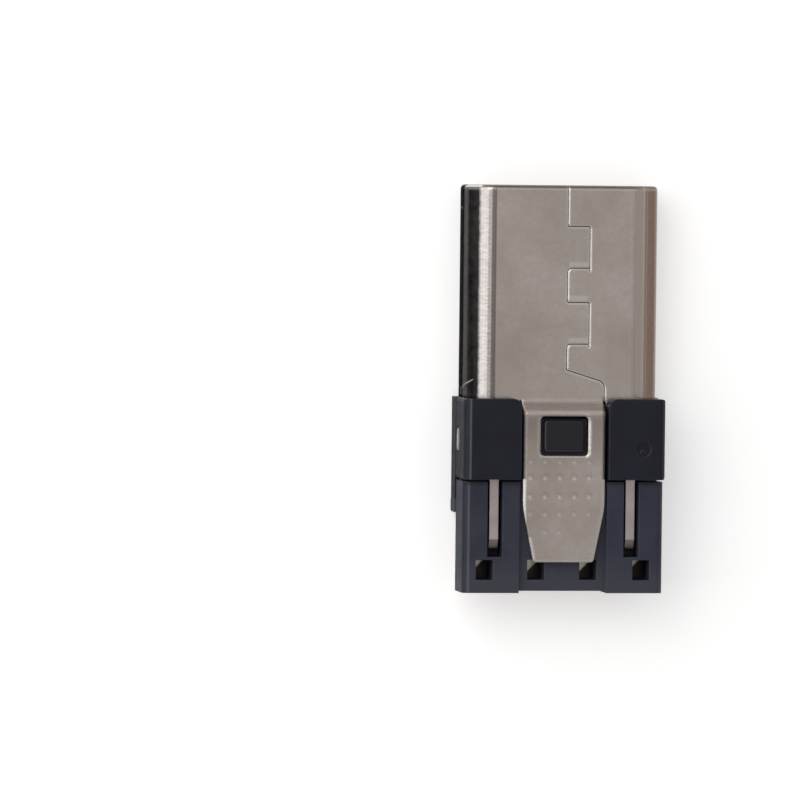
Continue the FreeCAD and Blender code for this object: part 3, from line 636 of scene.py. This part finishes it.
def smooth_corners(mesh):
    """Give each face corner the mean normal of the faces there that turn away from its face by less than a crease."""
    least = math.cos(SHARP_ANGLE)
    faces_at = [[] for _ in mesh.vertices]
    for face in mesh.polygons:
        for corner in face.vertices:
            faces_at[corner].append(face)
    normals = []
    for face in mesh.polygons:
        for corner in face.vertices:
            near = [other.normal * other.area for other in faces_at[corner] if other.normal.dot(face.normal) > least]
            normals.append(sum(near, Vector()).normalized())
    mesh.shade_smooth()
    mesh.normals_split_custom_set(normals)


def knurled_shell(material):
    """The shell with its knurl: the CAD mesh, welded, with the dimples cut into the tongue."""
    shapes = bmesh.new()
    shapes.from_mesh(NODES["shell"].data)
    bmesh.ops.remove_doubles(shapes, verts=shapes.verts, dist=WELD)
    bmesh.ops.scale(shapes, vec=Vector((1, 1, 1)) / MM, verts=shapes.verts)
    mesh = bpy.data.meshes.new("knurled_shell")
    shapes.to_mesh(mesh)
    shapes.free()
    piece = bpy.data.objects.new("knurled_shell", mesh)
    cutter = bpy.data.objects.new("knurl_cutter", knurl_cutter())
    for item in (piece, cutter):
        bpy.context.scene.collection.objects.link(item)
    cut = piece.modifiers.new("knurl", "BOOLEAN")
    cut.operation = "DIFFERENCE"
    cut.solver = "EXACT"
    cut.object = cutter
    settle(piece)
    bpy.data.objects.remove(cutter)
    smooth_corners(piece.data)
    piece.data.transform(Matrix.Scale(MM, 4))
    piece.data.materials.clear()
    piece.data.materials.append(material)
    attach(piece, "housing")
    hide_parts("shell")


def shell_lug(material):
    """The shell's lug in the collar's side window: a round-ended pad with a rolled edge."""
    rings = [(LUG_FOOT_X, 0.0)]
    for step in range(LUG_EDGE_STEPS + 1):
        angle = math.pi / 2 * step / LUG_EDGE_STEPS
        rings.append((LUG_FACE_X + LUG_EDGE * (1 - math.sin(angle)), LUG_EDGE * (1 - math.cos(angle))))
    shapes = bmesh.new()
    loops = []
    for x, inset in rings:
        loop = []
        for end in (1, -1):
            for step in range(LUG_TURN_STEPS + 1):
                angle = math.pi * (step / LUG_TURN_STEPS - 0.5)
                reach = (LUG_HALF_LENGTH - LUG_RADIUS) + (LUG_RADIUS - inset) * math.cos(angle)
                rise = (LUG_RADIUS - inset) * math.sin(angle)
                place = Vector((x, TIP_Y / MM - LUG_STATION + end * reach, LUG_HEIGHT + end * rise))
                loop.append(shapes.verts.new(place * MM))
        loops.append(loop)
    count = len(loops[0])
    for low, high in zip(loops, loops[1:]):
        for index in range(count):
            after = (index + 1) % count
            shapes.faces.new((low[index], low[after], high[after], high[index]))
    shapes.faces.new(loops[0])
    shapes.faces.new(loops[-1])
    bmesh.ops.recalc_face_normals(shapes, faces=shapes.faces)
    mesh = bpy.data.meshes.new("shell_lug")
    shapes.to_mesh(mesh)
    shapes.free()
    mesh.shade_smooth()
    mesh.set_sharp_from_angle(angle=SHARP_ANGLE)
    mesh.materials.append(material)
    lug = bpy.data.objects.new("shell_lug", mesh)
    bpy.context.scene.collection.objects.link(lug)
    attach(lug, "housing")


def finish_node(name, material):
    """Give a CAD node its material in every slot."""
    data = NODES[name].data
    if not data.materials:
        data.materials.append(material)
    for index in range(len(data.materials)):
        data.materials[index] = material


def finish_nodes():
    """Add the two pieces of the shell, and give every other node its material."""
    nickel = shell_finish()
    knurled_shell(nickel)
    shell_lug(nickel)
    finish_node("collar", plastic_finish("collar_black", COLLAR_TONES, collar_details))
    finish_node("insulator", plastic_finish("insulator_black", INSULATOR_TONES, insulator_details))
    contact = contact_finish()
    for name in ("contact_power", "contact_data_minus", "contact_data_plus", "contact_ground"):
        finish_node(name, contact)
    latch = latch_finish()
    for name in ("latch_left", "latch_right"):
        finish_node(name, latch)


def view_axes():
    """Right, up and backward directions of the camera."""
    forward = Vector((math.sin(TURN_LEFT), -math.sin(TURN_TO_TIP) * math.cos(TURN_LEFT),
                      -math.cos(TURN_TO_TIP) * math.cos(TURN_LEFT)))
    level = forward.cross(Vector((0, 1, 0))).normalized()
    rise = level.cross(forward)
    right = level * math.cos(ROLL) + rise * math.sin(ROLL)
    up = rise * math.cos(ROLL) - level * math.sin(ROLL)
    return right, up, -forward


def add_camera():
    """Long lens above the plug, turned a little to its left side and to its tip."""
    data = bpy.data.cameras.new("camera")
    data.sensor_width = SENSOR
    data.lens = SENSOR * PIXELS_PER_MM * (CAMERA_DISTANCE / MM) / FRAME_PIXELS
    data.clip_start = 1 * MM
    data.clip_end = 10.0
    camera = bpy.data.objects.new("camera", data)
    bpy.context.scene.collection.objects.link(camera)
    right, up, back = view_axes()
    turn = Matrix((right, up, back)).transposed().to_4x4()
    camera.matrix_world = Matrix.Translation(AIM + back * CAMERA_DISTANCE) @ turn
    bpy.context.scene.camera = camera


def add_lamps():
    """Rectangular soft lights that face the middle of the plug."""
    for name, direction, distance, width, height, power, colour in LAMPS:
        data = bpy.data.lights.new(name, "AREA")
        data.energy = power
        data.color = colour
        data.shape = "RECTANGLE"
        data.size = width
        data.size_y = height
        lamp = bpy.data.objects.new(name, data)
        bpy.context.scene.collection.objects.link(lamp)
        away = Vector(direction).normalized()
        turn = away.to_track_quat("Z", "Y").to_matrix().to_4x4()
        lamp.matrix_world = Matrix.Translation(away * distance) @ turn


def add_world():
    """Even pale light from all round."""
    world = bpy.data.worlds.new("studio")
    bpy.context.scene.world = world
    world.use_nodes = True
    background = world.node_tree.nodes["Background"]
    background.inputs["Color"].default_value = WORLD_COLOUR
    background.inputs["Strength"].default_value = WORLD_STRENGTH


def floor_finish():
    """White matte table that keeps the plug's shadow and can be seen through from below."""
    n = Nodes("white_table")
    diffuse = n.tree.nodes.new("ShaderNodeBsdfDiffuse")
    diffuse.inputs["Color"].default_value = FLOOR_COLOUR
    glow = n.tree.nodes.new("ShaderNodeEmission")
    path = n.tree.nodes.new("ShaderNodeLightPath")
    seen = n.math("MAXIMUM", path.outputs["Is Camera Ray"], path.outputs["Is Glossy Ray"])
    seen = n.math("MAXIMUM", seen, path.outputs["Is Transmission Ray"])
    n.feed(glow.inputs["Strength"], n.product(seen, FLOOR_LIFT))
    lit = n.tree.nodes.new("ShaderNodeAddShader")
    n.tree.links.new(diffuse.outputs[0], lit.inputs[0])
    n.tree.links.new(glow.outputs[0], lit.inputs[1])
    clear = n.tree.nodes.new("ShaderNodeBsdfTransparent")
    sides = n.tree.nodes.new("ShaderNodeMixShader")
    n.feed(sides.inputs[0], n.geometry.outputs["Backfacing"])
    n.tree.links.new(lit.outputs[0], sides.inputs[1])
    n.tree.links.new(clear.outputs[0], sides.inputs[2])
    n.tree.links.new(sides.outputs[0], n.output.inputs["Surface"])
    return n.material


def add_floor():
    """Square floor at the height of the collar's flat face."""
    corners = [(-FLOOR_HALF, -FLOOR_HALF, 0), (FLOOR_HALF, -FLOOR_HALF, 0),
               (FLOOR_HALF, FLOOR_HALF, 0), (-FLOOR_HALF, FLOOR_HALF, 0)]
    mesh = bpy.data.meshes.new("floor")
    mesh.from_pydata(corners, [], [(0, 1, 2, 3)])
    mesh.materials.append(floor_finish())
    floor = bpy.data.objects.new("floor", mesh)
    bpy.context.scene.collection.objects.link(floor)


def main():
    """Dress the plug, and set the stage."""
    bpy.context.scene.view_settings.view_transform = "Standard"
    finish_nodes()
    add_camera()
    add_lamps()
    add_world()
    add_floor()


main()
